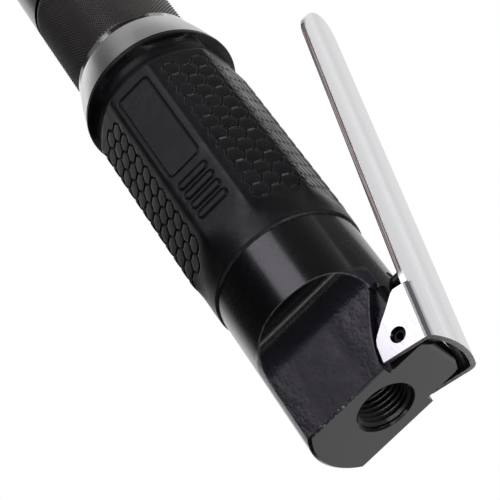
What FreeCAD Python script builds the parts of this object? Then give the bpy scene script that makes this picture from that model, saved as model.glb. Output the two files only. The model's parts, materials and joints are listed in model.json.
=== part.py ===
import FreeCAD, Part
import os, math
from FreeCAD import Vector

# Air ratchet with a 3/8 in square drive, in millimetres.
# The origin is the centre of the air inlet mouth, on the tool axis.
# +X points out of the inlet (rear), the head is at -X (front), +Z is the lever side (top).

os.makedirs("parts", exist_ok=True)

# --- motor housing ---
HOUSING_R = 19.3          # rear barrel
HOUSING_SEAT_R = 17.2     # turned seat under the grip
GRIP_REAR_X = -45.2
GRIP_FRONT_X = -119.2
RING_SEAT_R = 16.0
RING_FRONT_X = -133.0
THREAD_R = 15.15
HOUSING_FRONT_X = -145.0
MOTOR_BORE_R = 14.0
MOTOR_BORE_X = -52.0      # rear end of the motor bore

# --- throttle valve and lever pin ---
VALVE_X = -22.5
STEM_R = 2.0
STEM_TOP = 26.4
STEM_BORE_R = STEM_R + 0.05
CHAMBER_R = 5.0
SEAT_Z = 3.0
PIN_X, PIN_Z = -4.3, 14.36
PIN_R = 1.5

# --- motor and reduction gear ---
MOTOR_PART_R = 13.93      # parts that slide into the motor bore
ROTOR_SPACE_REAR_X = -60.0
ROTOR_SPACE_FRONT_X = -100.0
GEAR_REAR_X = -110.1
GEAR_FRONT_X = -121.0
GEAR_M = 0.6              # gear module
PRESSURE_ANGLE = 25.0
BACKLASH = 0.07           # at the pitch circle
Z_SUN, Z_PLANET, Z_RING = 12, 12, 36
PLANET_C = GEAR_M * (Z_SUN + Z_PLANET) / 2.0    # sun to planet centre distance
PLANET_ANGLES = [math.radians(90 + 120 * k) for k in range(3)]

# --- head ---
DRIVE_X = -240.0          # axis of the square drive
HEAD_HALF_T = 13.0
FORK_GAP = 6.6            # half height of the slot between the cheeks
CRANK_ECC = 1.8
CRANKPIN_X = -214.0
CRANKPIN_R = 3.0
BUSHING_R = 4.4           # ball-shaped bushing on the crankpin

ORIGIN = Vector(0, 0, 0)
X_AXIS = Vector(1, 0, 0)
Y_AXIS = Vector(0, 1, 0)
Z_AXIS = Vector(0, 0, 1)


# --- helpers ---
def save(name, *shapes):
    shape = shapes[0] if len(shapes) == 1 else Part.makeCompound(list(shapes))
    shape.exportStep("parts/%s.step" % name)


def cyl_x(radius, x0, x1, y=0.0, z=0.0):
    return Part.makeCylinder(radius, abs(x1 - x0), Vector(min(x0, x1), y, z), X_AXIS)


def cyl_y(radius, y0, y1, x, z):
    return Part.makeCylinder(radius, y1 - y0, Vector(x, y0, z), Y_AXIS)


def cyl_z(radius, z0, z1, x, y=0.0):
    return Part.makeCylinder(radius, abs(z1 - z0), Vector(x, y, min(z0, z1)), Z_AXIS)


def box(x0, x1, y0, y1, z0, z1):
    corner = Vector(min(x0, x1), min(y0, y1), min(z0, z1))
    return Part.makeBox(abs(x1 - x0), abs(y1 - y0), abs(z1 - z0), corner)


def ring(outer_r, inner_r, x0, x1):
    low, high = min(x0, x1), max(x0, x1)
    return cyl_x(outer_r, low, high).cut(cyl_x(inner_r, low - 1, high + 1))


def closed_face(points):
    return Part.Face(Part.makePolygon(points + [points[0]]))


def turn_x(profile):
    """Revolve a closed (x, radius) outline about the tool axis."""
    return closed_face([Vector(x, 0, r) for x, r in profile]).revolve(ORIGIN, X_AXIS, 360)


def turn_drive(profile):
    """Revolve a closed (radius, z) outline about the drive axis."""
    face = closed_face([Vector(DRIVE_X + r, 0, z) for r, z in profile])
    return face.revolve(Vector(DRIVE_X, 0, 0), Z_AXIS, 360)


def prism_x(outline, x0, x1):
    """Extrude a closed (y, z) outline."""
    return closed_face([Vector(x0, y, z) for y, z in outline]).extrude(Vector(x1 - x0, 0, 0))


def prism_y(outline, y0, y1):
    """Extrude a closed (x, z) outline."""
    return closed_face([Vector(x, y0, z) for x, z in outline]).extrude(Vector(0, y1 - y0, 0))


def prism_z(outline, z0, z1):
    """Extrude a closed (x, y) outline."""
    return closed_face([Vector(x, y, z0) for x, y in outline]).extrude(Vector(0, 0, z1 - z0))


def polar(radius, angle):
    return radius * math.cos(angle), radius * math.sin(angle)


def turned(shape, degrees):
    """The shape after a turn about the tool axis."""
    shape.rotate(ORIGIN, X_AXIS, degrees)
    return shape


def mirrored(half, middle=()):
    """A closed (x, y) outline: half, the points between, then half mirrored in y."""
    return half + list(middle) + [(x, -y) for x, y in reversed(half)]


def bulged_line(x0, r0, x1, r1, bulge, steps=8):
    """(x, r) points towards -X on a parabola that stands bulge outside its chord."""
    dx, dr = x1 - x0, r1 - r0
    chord = math.hypot(dx, dr)
    points = []
    for i in range(steps + 1):
        t = i / steps
        rise = 4 * bulge * t * (1 - t)
        points.append((x0 + dx * t + dr / chord * rise, r0 + dr * t - dx / chord * rise))
    return points


def coil(pitch, height, coil_r, wire_r):
    """Helical spring standing on the origin along +Z."""
    helix = Part.makeHelix(pitch, height, coil_r)
    circle = Part.Circle(Vector(coil_r, 0, 0), Y_AXIS, wire_r).toShape()
    return Part.Wire(helix.Edges).makePipeShell([Part.Wire([circle])], True, True)


def gear_outline(teeth, phase, internal=False):
    """Involute outline with a gear tooth centred on phase.  An internal gear gives its hole."""
    pressure = math.radians(PRESSURE_ANGLE)
    pitch_r = GEAR_M * teeth / 2.0
    base_r = pitch_r * math.cos(pressure)
    inner_r = pitch_r - (0.6 if internal else 1.0) * GEAR_M
    outer_r = pitch_r + (1.0 if internal else 0.8) * GEAR_M
    start_r = max(inner_r, base_r)
    # the hole is an external gear grown by the backlash, centred on the gaps
    growth = BACKLASH if internal else -BACKLASH
    shift = math.pi / teeth if internal else 0.0
    base_half = math.pi / (2 * teeth) + math.tan(pressure) - pressure + growth / (2 * pitch_r)

    def half_angle(radius):
        roll = math.acos(base_r / radius)
        return base_half - (math.tan(roll) - roll)

    steps = 4
    flank = [start_r + (outer_r - start_r) * i / steps for i in range(steps + 1)]
    side = [(r, half_angle(r)) for r in flank]
    if inner_r < start_r:
        side = [(inner_r, side[0][1])] + side
    points = []
    for k in range(teeth):
        centre = phase + 2 * math.pi * k / teeth + shift
        points += [polar(r, centre - half) for r, half in side]
        points += [polar(r, centre + half) for r, half in reversed(side)]
    return points


def save_bearing(name, bore_r, outer_r, x0, x1, ball_count, ball_r):
    """Ball bearing: the outer ring is saved with the balls, the inner ring alone."""
    mid_r = (bore_r + outer_r) / 2.0
    mid_x = (x0 + x1) / 2.0
    groove = Part.makeTorus(mid_r, ball_r + 0.06, Vector(mid_x, 0, 0), X_AXIS)
    wall = (outer_r - bore_r) * 0.27
    outer = ring(outer_r, outer_r - wall, x0, x1).cut(groove)
    inner = ring(bore_r + wall, bore_r, x0, x1).cut(groove)
    balls = [Part.makeSphere(ball_r, Vector(mid_x, *polar(mid_r, 2 * math.pi * k / ball_count)))
             for k in range(ball_count)]
    save(name + "_outer", outer, *balls)
    save(name + "_inner", inner)


# --- motor housing: barrel, tail block, lever boss, bores ---
FLAT_Y = 11.0             # half distance across the tail flats
SWEEP_R = 8.0             # concave run-out of the tail flats
SWEEP_X = -18.6
BOSS_Y = 8.6              # half width of the lever boss
SHOULDER_R = 3.2          # rounded shoulder of the boss
NOSE_R = 2.2              # rounded rear top edge of the boss
NOSE_Z = 17.1
FACE_CHAMFER = 0.7
INLET_R = 6.86            # 1/4 in pipe thread, major radius
INLET_MOUTH_R = 7.46
MOUTH_DEPTH = 0.45
INLET_DEPTH = 13.0
# (x, z) outline of the cut beside the boss; its floor climbs towards the front
BOSS_RECESS = [
    (1.0, 7.3), (-2.6, 7.3), (-5.7, 8.2), (-8.7, 9.5), (-12.0, 11.15),
    (-14.7, 12.75), (-17.3, 14.5), (-20.3, 16.9), (-20.3, 30), (1.0, 30)]
# radius, z from, z to, on the valve axis
VALVE_BORES = [
    (CHAMBER_R, -30, SEAT_Z),       # valve chamber, open below
    (3.2, SEAT_Z - 0.5, 9.5),       # seat throat
    (STEM_BORE_R, 9, 30),           # stem guide
    (3.55, 15.6, 30)]               # gland counterbore


def shoulder_cutter(side):
    """Waste outside a shoulder arc tangent to the barrel and to the boss side."""
    centre_y = BOSS_Y - SHOULDER_R
    centre_z = math.sqrt((HOUSING_R - SHOULDER_R) ** 2 - centre_y ** 2)
    start = math.atan2(centre_z, centre_y)
    outline = []
    for i in range(9):
        y, z = polar(SHOULDER_R, start * (1 - i / 8.0))
        outline.append((side * (centre_y + y), centre_z + z))
    far_y, far_z = polar(40.0, start)
    outline += [(side * 30.0, centre_z), (side * 30.0, 40.0), (side * far_y, far_z)]
    return prism_x(outline, -19.0, 1.0)


def motor_housing():
    ring_step_x = RING_FRONT_X - 0.1
    body = turn_x([
        (0, 0), (0, HOUSING_R - FACE_CHAMFER), (-FACE_CHAMFER, HOUSING_R),
        (GRIP_REAR_X, HOUSING_R), (GRIP_REAR_X, HOUSING_SEAT_R),
        (GRIP_FRONT_X, HOUSING_SEAT_R), (GRIP_FRONT_X, RING_SEAT_R),
        (ring_step_x, RING_SEAT_R), (ring_step_x, THREAD_R),
        (HOUSING_FRONT_X, THREAD_R), (HOUSING_FRONT_X, 0)])
    for side in (-1, 1):
        flat = box(SWEEP_X, 1, side * FLAT_Y, side * 30, -30, 30)
        sweep = cyl_z(SWEEP_R, -30, 30, SWEEP_X, side * (FLAT_Y + SWEEP_R))
        body = body.cut(flat.fuse(sweep))
        body = body.cut(prism_y(BOSS_RECESS, BOSS_Y * side, 30.0 * side))
        body = body.cut(shoulder_cutter(side))
    nose = box(-NOSE_R, 1, -30, 30, NOSE_Z, 30)
    body = body.cut(nose.cut(cyl_y(NOSE_R, -30, 30, -NOSE_R, NOSE_Z)))

    mouth = Part.makeCone(INLET_R, 2 * INLET_MOUTH_R - INLET_R, MOUTH_DEPTH * 2,
                          Vector(-MOUTH_DEPTH, 0, 0), X_AXIS)
    body = body.cut(cyl_x(MOTOR_BORE_R, MOTOR_BORE_X, HOUSING_FRONT_X - 1))
    body = body.cut(cyl_x(INLET_R, -INLET_DEPTH, 1).fuse(mouth))
    body = body.cut(cyl_x(5.7, -17.0, -INLET_DEPTH + 0.5))          # strainer bore
    body = body.cut(cyl_x(4.0, -16.5, VALVE_X - 1))                 # feed to the valve
    for radius, z0, z1 in VALVE_BORES:
        body = body.cut(cyl_z(radius, z0, z1, VALVE_X))
    body = body.cut(cyl_x(2.6, VALVE_X, MOTOR_BORE_X - 1, 0, 6.2))  # port to the motor
    return body.cut(cyl_y(PIN_R + 0.01, -30, 30, PIN_X, PIN_Z))     # lever pin hole


save("motor_housing", motor_housing())

# --- throttle lever: modelled with the pin at the origin and the lever along -X ---
LEVER_TILT = 13.0         # released position, degrees above the tool axis
LEVER_T = 1.3
LEVER_HALF_REAR = 11.03
LEVER_HALF_TIP = 9.2
LEVER_TIP_X = -99.3
LEVER_REAR_X = 4.18
CHANNEL_FRONT_X = -10.75
CROWN_IN = 7.8            # inner crown height of the web above the pin
CROWN_R = 24.8
CHANNEL_CORNER_R = 2.6
EAR_HOLE_R = 1.58
EAR_SINK_R = 1.98         # countersink at the outer faces of the ears
# (x, z) outline of the waste below the ears
EAR_WASTE = [
    (6, -9), (6, -5.5), (3.9, -5.5), (-0.3, -5.5), (-1.7, -5.15), (-2.9, -4.35),
    (-5.0, -2.6), (-7.2, -0.55), (-10.1, 1.9), (-10.9, 3.0), (-12, 3.0), (-12, -9)]


def channel_section(half, crown_r, top, corner_r, low):
    """(y, z) outline with straight sides, rounded upper corners and a crowned top."""
    crown_z = top - crown_r
    corner_y = -half + corner_r
    rise = math.sqrt((crown_r - corner_r) ** 2 - corner_y ** 2)
    end = math.atan2(rise, corner_y)
    side = [(-half, low)]
    for i in range(7):
        y, z = polar(corner_r, math.pi + (end - math.pi) * i / 6)
        side.append((corner_y + y, crown_z + rise + z))
    crown = []
    for i in range(1, 12):
        y, z = polar(crown_r, end + (math.pi - 2 * end) * i / 12)
        crown.append((y, crown_z + z))
    return side + crown + [(-y, z) for y, z in reversed(side)]


def lever_strip():
    """Crowned strip ahead of the channel: straight, then tapering to a round tip."""
    past_tip = LEVER_TIP_X - 5
    crown_z = CROWN_IN - CROWN_R
    shell = cyl_x(CROWN_R + LEVER_T, past_tip, LEVER_REAR_X, 0, crown_z)
    shell = shell.cut(cyl_x(CROWN_R, past_tip - 1, 5, 0, crown_z))
    shell = shell.common(box(past_tip, LEVER_REAR_X, -20, 20, 0.5, 12))
    tip_centre = LEVER_TIP_X + LEVER_HALF_TIP
    side = [(LEVER_REAR_X, -LEVER_HALF_REAR), (-12.0, -LEVER_HALF_REAR),
            (tip_centre, -LEVER_HALF_TIP)]
    tip = [(tip_centre - LEVER_HALF_TIP * math.sin(math.radians(angle)),
            -LEVER_HALF_TIP * math.cos(math.radians(angle))) for angle in range(10, 180, 10)]
    web = shell.common(prism_z(mirrored(side, tip), -1, 20))
    return web.common(box(past_tip, CHANNEL_FRONT_X, -20, 20, -1, 20))


def throttle_lever():
    outside = prism_x(
        channel_section(LEVER_HALF_REAR, CROWN_R + LEVER_T, CROWN_IN + LEVER_T,
                        CHANNEL_CORNER_R, -6.5),
        CHANNEL_FRONT_X, LEVER_REAR_X)
    inside = prism_x(
        channel_section(LEVER_HALF_REAR - LEVER_T, CROWN_R, CROWN_IN,
                        CHANNEL_CORNER_R - LEVER_T, -7.5),
        CHANNEL_FRONT_X - 1, LEVER_REAR_X + 1)
    channel = outside.cut(inside).cut(prism_y(EAR_WASTE, -20, 20))
    lever = lever_strip().fuse(channel)
    lever = lever.cut(cyl_y(EAR_HOLE_R, -20, 20, 0, 0))
    for side in (-1, 1):
        lever = lever.cut(Part.makeCone(
            EAR_HOLE_R - 0.05, EAR_SINK_R + 0.05, 0.55,
            Vector(0, side * (LEVER_HALF_REAR - 0.5), 0), Vector(0, side, 0)))
    lever = lever.removeSplitter()
    lever.rotate(ORIGIN, Y_AXIS, LEVER_TILT)
    lever.translate(Vector(PIN_X, 0, PIN_Z))
    return lever


def lever_pin():
    """Rolled spring pin with its slot towards the rear."""
    pin = cyl_y(PIN_R, -10.2, 10.2, PIN_X, PIN_Z).cut(cyl_y(0.85, -12, 12, PIN_X, PIN_Z))
    return pin.cut(box(PIN_X, PIN_X + 3, -12, 12, PIN_Z - 0.25, PIN_Z + 0.25))


save("throttle_lever", throttle_lever())
save("lever_pin", lever_pin())

# --- throttle valve ---
STEM_FOOT_Z = 2.6         # the stem narrows below this height
DISC_R = 4.3
DOME_R = 2.9
PLUG_BOTTOM_Z, PLUG_TOP_Z = -18.1, -13.0


def valve_stem():
    dome = Part.makeSphere(DOME_R, Vector(VALVE_X, 0, STEM_TOP - DOME_R))
    dome = dome.common(cyl_z(STEM_R, STEM_TOP - 4, STEM_TOP + 1, VALVE_X))
    stem = cyl_z(STEM_R, STEM_FOOT_Z, STEM_TOP - 2.1, VALVE_X).fuse(dome).removeSplitter()
    foot = cyl_z(1.3, -2.6, STEM_FOOT_Z, VALVE_X).fuse(cyl_z(DISC_R, -1.6, 0.6, VALVE_X))
    return foot.fuse(stem).removeSplitter()


def valve_plug():
    """Plug with a hexagon socket below and a groove for its O-ring."""
    plug = cyl_z(CHAMBER_R - 0.03, PLUG_BOTTOM_Z, PLUG_TOP_Z, VALVE_X)
    corners = [polar(2.9, math.radians(60 * i)) for i in range(6)]
    plug = plug.cut(prism_z([(VALVE_X + x, y) for x, y in corners], -18.5, -15.4))
    return plug.cut(cyl_z(6, -14.9, -13.7, VALVE_X).cut(cyl_z(4.1, -16, -12, VALVE_X)))


def inlet_strainer():
    """Perforated cup in front of the inlet thread, with a rim at its rear."""
    cup = cyl_x(4.8, -16.85, -13.1).cut(cyl_x(4.3, -16.3, -12))
    for k in range(8):
        outward = Vector(0, *polar(1, math.radians(45 * k)))
        cup = cup.cut(Part.makeCylinder(0.5, 8, Vector(-15.1, 0, 0), outward))
    for k in range(6):
        cup = cup.cut(cyl_x(0.7, -18, -15, *polar(2.4, math.radians(60 * k))))
    return cup.cut(cyl_x(0.8, -18, -15)).fuse(ring(5.65, 4.3, -14.0, -13.1)).removeSplitter()


save("valve_stem", valve_stem())
save("valve_seal", cyl_z(DISC_R, 0.65, 2.55, VALVE_X).cut(cyl_z(1.35, 0, 3, VALVE_X)))
valve_spring = coil(pitch=1.75, height=10.5, coil_r=3.1, wire_r=0.35)
valve_spring.translate(Vector(VALVE_X, 0, -12.55))
save("valve_spring", valve_spring)
save("valve_plug", valve_plug())
save("plug_o_ring", Part.makeTorus(4.54, 0.42, Vector(VALVE_X, 0, -14.3), Z_AXIS))
save("stem_o_ring", Part.makeTorus(2.79, 0.72, Vector(VALVE_X, 0, 16.35), Z_AXIS))
save("stem_gland", cyl_z(3.53, 17.15, 19.0, VALVE_X).cut(cyl_z(STEM_BORE_R, 17, 20, VALVE_X)))
save("inlet_strainer", inlet_strainer())

# --- grip sleeve: rubber, round rims with eight facets between them ---
GRIP_R = 21.2
GRIP_REAR_R = 19.65
GRIP_RIM_R = 21.4
DIAG_ANGLE = 40.2
FACET_DIAG = 19.85        # distance of the diagonal facets from the axis
# angle from +Y towards +Z, distance from the axis; repeated half a turn on
FACETS = [(0, 20.05), (DIAG_ANGLE, FACET_DIAG), (90, 19.3), (180 - DIAG_ANGLE, FACET_DIAG)]


def grip_sleeve():
    rear_x, front_x = GRIP_REAR_X - 0.05, GRIP_FRONT_X + 0.05
    bore_r = HOUSING_SEAT_R + 0.05
    grip = turn_x([
        (rear_x, bore_r), (rear_x, GRIP_REAR_R), (-48.0, 19.9), (-57.5, GRIP_R),
        (-113.5, GRIP_R), (-117.6, GRIP_RIM_R), (front_x, GRIP_RIM_R - 0.1), (front_x, bore_r)])
    for half_turn in (0, 180):
        for angle, distance in FACETS:
            waste = box(-115.2, -52.0, distance, distance + 10, -20, 20)
            grip = grip.cut(turned(waste, half_turn + angle))
    return grip


save("grip_sleeve", grip_sleeve())

# --- front ring and clamp nut ---
RING_BORE_R = RING_SEAT_R + 0.03
RING_END_R = 17.6
NUT_R = 17.05
NUT_REAR_X = -133.3
NUT_FRONT_X = -165.0
NUT_THREAD_R = 15.2


def front_ring():
    """Bright bezel with two spanner flats."""
    rear_x = GRIP_FRONT_X - 0.05
    bezel = turn_x(
        [(rear_x, RING_BORE_R), (rear_x, 20.95)]
        + bulged_line(-119.7, 21.05, -130.9, 17.95, 0.22)
        + [(-131.1, RING_END_R), (RING_FRONT_X + 0.2, RING_END_R),
           (RING_FRONT_X, RING_END_R - 0.2), (RING_FRONT_X, RING_BORE_R)])
    for angle in (-28.0, -208.0):
        bezel = bezel.cut(turned(box(-134, -131.0, -30, -16.55, -20, 20), angle))
    return bezel


save("front_ring", front_ring())
save("clamp_nut", turn_x([
    (NUT_REAR_X, NUT_THREAD_R), (NUT_REAR_X, 16.6), (NUT_REAR_X - 0.45, NUT_R),
    (NUT_FRONT_X + 0.9, NUT_R), (NUT_FRONT_X, 16.2), (NUT_FRONT_X, 14.3),
    (-149.2, 14.3), (-149.2, 15.5), (-145.6, 15.5), (-145.6, NUT_THREAD_R)]))
save("nut_retaining_ring",
     ring(15.3, 13.65, -149.1, -147.8).cut(box(-150, -147, -1.6, 1.6, 5, 20)))

# --- air motor ---
LINER_BORE_R = 11.5
LINER_ECC = 1.2           # the liner bore lies this far below the axis
DOWEL_Z = 12.6
ROTOR_R = 10.1
BLADES = 5


def rear_end_plate():
    plate = cyl_x(MOTOR_PART_R, MOTOR_BORE_X - 0.1, ROTOR_SPACE_REAR_X)
    plate = plate.cut(cyl_x(9.55, -51, -58.2)).cut(cyl_x(3.4, -51, -61))
    for side in (-1, 1):
        plate = plate.cut(cyl_x(1.4, -62, -50, 10.9 * side * 0.5, 10.9 * 0.866))
    return plate


def cylinder_liner():
    liner = cyl_x(MOTOR_PART_R, ROTOR_SPACE_REAR_X - 0.05, ROTOR_SPACE_FRONT_X + 0.05)
    liner = liner.cut(cyl_x(LINER_BORE_R, -59, -101, 0, -LINER_ECC))
    for k in range(5):    # slots through the +Y wall
        slot_x = -66 - 6 * k
        liner = liner.cut(box(slot_x, slot_x - 3, 9.5, 20, -5.9, -4.1))
    return liner.cut(cyl_x(0.8, -59, -66, 0, DOWEL_Z))


def blade_boxes(end_gap, half_t, z0, z1):
    """One radial slab per blade, end_gap inside each end of the rotor space."""
    rear_x, front_x = ROTOR_SPACE_REAR_X - end_gap, ROTOR_SPACE_FRONT_X + end_gap
    return [turned(box(rear_x, front_x, -half_t, half_t, z0, z1), 360.0 / BLADES * k)
            for k in range(BLADES)]


def rotor():
    """Slotted rotor with its shafts and the sun gear at the front."""
    body = cyl_x(ROTOR_R, ROTOR_SPACE_REAR_X - 0.3, ROTOR_SPACE_FRONT_X + 0.3)
    body = body.fuse(cyl_x(3.0, -52.4, -61)).fuse(cyl_x(4.0, -99, -110.2)).removeSplitter()
    for slot in blade_boxes(0.2, 0.8, 5.4, 12):
        body = body.cut(slot)
    return body.fuse(prism_x(gear_outline(Z_SUN, math.pi / 2), GEAR_REAR_X, GEAR_FRONT_X))


def front_end_plate():
    plate = cyl_x(MOTOR_PART_R, ROTOR_SPACE_FRONT_X, -110.0)
    return plate.cut(cyl_x(11.03, -102.5, -111)).cut(cyl_x(4.4, -99, -111))


save("rear_end_plate", rear_end_plate())
save_bearing("rear_bearing", 3.03, 9.5, -52.2, -58.1, ball_count=7, ball_r=1.7)
save("cylinder_liner", cylinder_liner())
save("liner_dowel", cyl_x(0.78, -60.1, -64.5, 0, DOWEL_Z))
save("rotor", rotor())
save("rotor_blades", *blade_boxes(0.5, 0.74, 5.5, 9.95))
save("front_end_plate", front_end_plate())
save_bearing("front_bearing", 4.03, 11.0, -102.6, -109.6, ball_count=7, ball_r=1.98)

# --- planetary reduction ---
PLANET_PIN_R = 1.7


def ring_gear():
    hole = prism_x(gear_outline(Z_RING, math.pi / 2, internal=True), -109, -125)
    return cyl_x(MOTOR_PART_R, GEAR_REAR_X, GEAR_FRONT_X).cut(hole)


def planet_gear(angle):
    y, z = polar(PLANET_C, angle)
    gear = prism_x(gear_outline(Z_PLANET, angle + math.pi / Z_PLANET), -111.6, -120.6)
    gear.translate(Vector(0, y, z))
    return gear.cut(cyl_x(PLANET_PIN_R + 0.05, -105, -125, y, z))


save("ring_gear", ring_gear())
for number, angle in enumerate(PLANET_ANGLES, 1):
    save("planet_gear_%d" % number, planet_gear(angle))
save("planet_pins", *[cyl_x(PLANET_PIN_R, -111.2, -128.5, *polar(PLANET_C, angle))
                      for angle in PLANET_ANGLES])


# --- crankshaft, with the planet carrier at its rear and the crankpin at its front ---
def crankshaft():
    crank = cyl_x(11.2, -121.2, -128.6).fuse(cyl_x(6.0, -128, -206.5))
    crank = crank.fuse(cyl_x(9.0, -128.5, -131.0))
    crank = crank.fuse(cyl_x(CRANKPIN_R, -206, -218.5, 0, CRANK_ECC)).removeSplitter()
    for angle in PLANET_ANGLES:
        crank = crank.cut(cyl_x(PLANET_PIN_R + 0.01, -121, -128.55, *polar(PLANET_C, angle)))
    return crank.cut(cyl_x(4.3, -121, -122.2))


def drive_bushing():
    """Ball with flat ends, bored for the crankpin."""
    ball = Part.makeSphere(BUSHING_R, Vector(CRANKPIN_X, 0, CRANK_ECC))
    ball = ball.common(cyl_x(BUSHING_R + 1, CRANKPIN_X - 3.4, CRANKPIN_X + 3.4, 0, CRANK_ECC))
    return ball.cut(cyl_x(CRANKPIN_R + 0.05, -225, -200, 0, CRANK_ECC))


save("crankshaft", crankshaft())
save("gear_spacer", ring(MOTOR_PART_R, 11.5, -121.1, -131.4))
save_bearing("crank_bearing", 6.03, 13.9, -131.6, -139.0, ball_count=8, ball_r=2.2)
save("bearing_spacer", ring(MOTOR_PART_R, 8.0, -139.1, -144.9))
save("crank_bush", ring(8.5, 6.05, -186.0, -202.0))
save("drive_bushing", drive_bushing())

# --- ratchet head housing: neck and fork ---
NECK_R = 16.9
HEAD_R = 16.0
# (x, radius) outline of the neck, up to where it starts to narrow
NECK_REAR = [
    (-145.1, 0), (-145.1, 14.9), (-147.6, 14.9), (-147.6, 13.6), (-149.3, 13.6),
    (-149.3, 14.2), (-165.1, 14.2), (-165.1, 16.4), (-165.6, NECK_R)]
# (x, y) -Y edge of the fork, from the neck to the round end
FORK_SIDE = [
    (-190.0, -12.2), (-200.0, -12.4), (-214.0, -13.6), (-228.0, -15.6), (DRIVE_X, -HEAD_R)]


def fork_block():
    steps = 24
    end = [(DRIVE_X - HEAD_R * math.sin(math.pi * i / steps),
            -HEAD_R * math.cos(math.pi * i / steps)) for i in range(1, steps)]
    fork = prism_z(mirrored(FORK_SIDE, end), -HEAD_HALF_T, HEAD_HALF_T)
    rims = [e for e in fork.Edges if abs(e.BoundBox.ZMax - e.BoundBox.ZMin) < 1e-6]
    rims = [e for e in rims if e.BoundBox.XMax < -190.5 or e.BoundBox.XMin < -200]
    # guards the chamfer, which may fail on the many short rim edges; the rims then stay sharp
    try:
        fork = fork.makeChamfer(1.2, rims)
    except Exception:
        pass
    return fork


def ratchet_housing():
    neck = turn_x(NECK_REAR + bulged_line(-183.0, NECK_R, -206.0, 12.6, 1.0) + [(-206.0, 0)])
    head = neck.fuse(fork_block())
    head = head.cut(cyl_x(10.0, -144, -186.05))
    head = head.cut(cyl_x(8.53, -185, -203.0))
    head = head.cut(cyl_x(7.4, -202, -206.5))
    head = head.cut(box(-206.4, -270, -30, 30, -FORK_GAP, FORK_GAP))
    head = head.cut(cyl_z(11.0, -FORK_GAP + 1, -HEAD_HALF_T - 1, DRIVE_X))   # drive side bore
    head = head.cut(cyl_z(11.7, -11.95, -10.75, DRIVE_X))                    # snap ring groove
    return head.cut(cyl_z(7.45, FORK_GAP - 1, HEAD_HALF_T + 1, DRIVE_X))     # knob side bore


save("ratchet_housing", ratchet_housing())

# --- yoke: toothed ring and driven tail ---
YOKE_TEETH = 32
TOOTH_TIP_R, TOOTH_ROOT_R = 10.4, 11.2
YOKE_HALF_T = 6.4
CRANK_THROW = 2 * CRANK_ECC
# radius, angle in half pitches from the centre of the gap
TOOTH_GAP = [(TOOTH_TIP_R, -0.78), (TOOTH_ROOT_R, -0.08), (TOOTH_ROOT_R, 0.08),
             (TOOTH_TIP_R, 0.78)]
# (x, y) -Y edge of the tail
TAIL_SIDE = [
    (DRIVE_X + 8.0, -9.5), (DRIVE_X + 16.0, -9.8), (CRANKPIN_X - 6.8, -10.6),
    (CRANKPIN_X + 5.9, -10.6), (CRANKPIN_X + 6.3, -10.0)]


def ratchet_yoke():
    half_pitch = math.pi / YOKE_TEETH
    hole = []
    for k in range(YOKE_TEETH):
        centre = 2 * math.pi * (k + 0.5) / YOKE_TEETH
        for radius, offset in TOOTH_GAP:
            x, y = polar(radius, centre + offset * half_pitch)
            hole.append((DRIVE_X + x, y))
    yoke = cyl_z(13.9, -YOKE_HALF_T, YOKE_HALF_T, DRIVE_X)
    yoke = yoke.fuse(prism_z(mirrored(TAIL_SIDE), -YOKE_HALF_T, YOKE_HALF_T)).removeSplitter()
    yoke = yoke.cut(prism_z(hole, -8, 8))
    # pocket for the bushing, then the opening for the crankpin behind it
    pocket_y = BUSHING_R + CRANK_THROW + 0.12
    yoke = yoke.cut(box(CRANKPIN_X - BUSHING_R - 0.6, CRANKPIN_X + BUSHING_R + 0.9,
                        -pocket_y, pocket_y, -8, 8))
    opening_y = CRANKPIN_R + CRANK_THROW + 0.2
    return yoke.cut(box(CRANKPIN_X, CRANKPIN_X + 9, -opening_y, opening_y, -8, 8))


save("ratchet_yoke", ratchet_yoke())

# --- drive spindle, pawl, reversing parts ---
SQUARE_HALF = 9.53 / 2.0
SQUARE_END_Z = -25.0
BALL_Z = -19.8            # height of the socket ball
PAWL_PIN_X = DRIVE_X - 6.6
PAWL_PIN_R = 1.2
SELECTOR_R = 3.0
PLUNGER_X = DRIVE_X - 3.1
PLUNGER_R = 1.1
WASHER_R, WASHER_BORE_R = 10.9, 8.95
# (x from the drive axis, y) -Y half of the pawl
PAWL_SIDE = [(-4.3, -2.4), (-4.9, -6.4), (-6.9, -7.0), (-8.1, -5.2), (-8.7, -2.6)]
# (radius, z) outlines about the drive axis
SPINDLE_PROFILE = [(0, -14.0), (8.9, -14.0), (8.9, -6.5), (10.1, -6.5), (10.1, 6.45),
                   (7.4, 6.45), (7.4, 13.0), (0, 13.0)]
KNOB_PROFILE = [(0, 13.4), (10.2, 13.4), (10.6, 14.0), (10.6, 16.6), (9.9, 17.6), (0, 17.6)]


def drive_square():
    square = box(DRIVE_X - SQUARE_HALF, DRIVE_X + SQUARE_HALF, -SQUARE_HALF, SQUARE_HALF,
                 SQUARE_END_Z, -13.9)
    end_edges = [e for e in square.Edges if abs(e.BoundBox.ZMax - SQUARE_END_Z) < 1e-6]
    square = square.makeChamfer(0.9, end_edges)
    long_edges = [e for e in square.Edges if e.BoundBox.ZMax - e.BoundBox.ZMin > 8]
    return square.makeFillet(0.5, long_edges)


def drive_spindle():
    spindle = turn_drive(SPINDLE_PROFILE).fuse(drive_square())
    spindle = spindle.cut(box(DRIVE_X - 12, DRIVE_X - 3.3, -8.3, 8.3, -4.1, 4.1))  # pawl pocket
    spindle = spindle.cut(cyl_z(SELECTOR_R + 0.05, -4.1, 14, DRIVE_X))
    spindle = spindle.cut(box(DRIVE_X - 6, DRIVE_X, -2.9, 2.9, -4.1, 4.1))
    spindle = spindle.cut(cyl_z(PAWL_PIN_R + 0.01, -6.0, 6.0, PAWL_PIN_X))
    return spindle.cut(cyl_y(1.61, SQUARE_HALF - 4.7, SQUARE_HALF + 0.5, DRIVE_X, BALL_Z))


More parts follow.
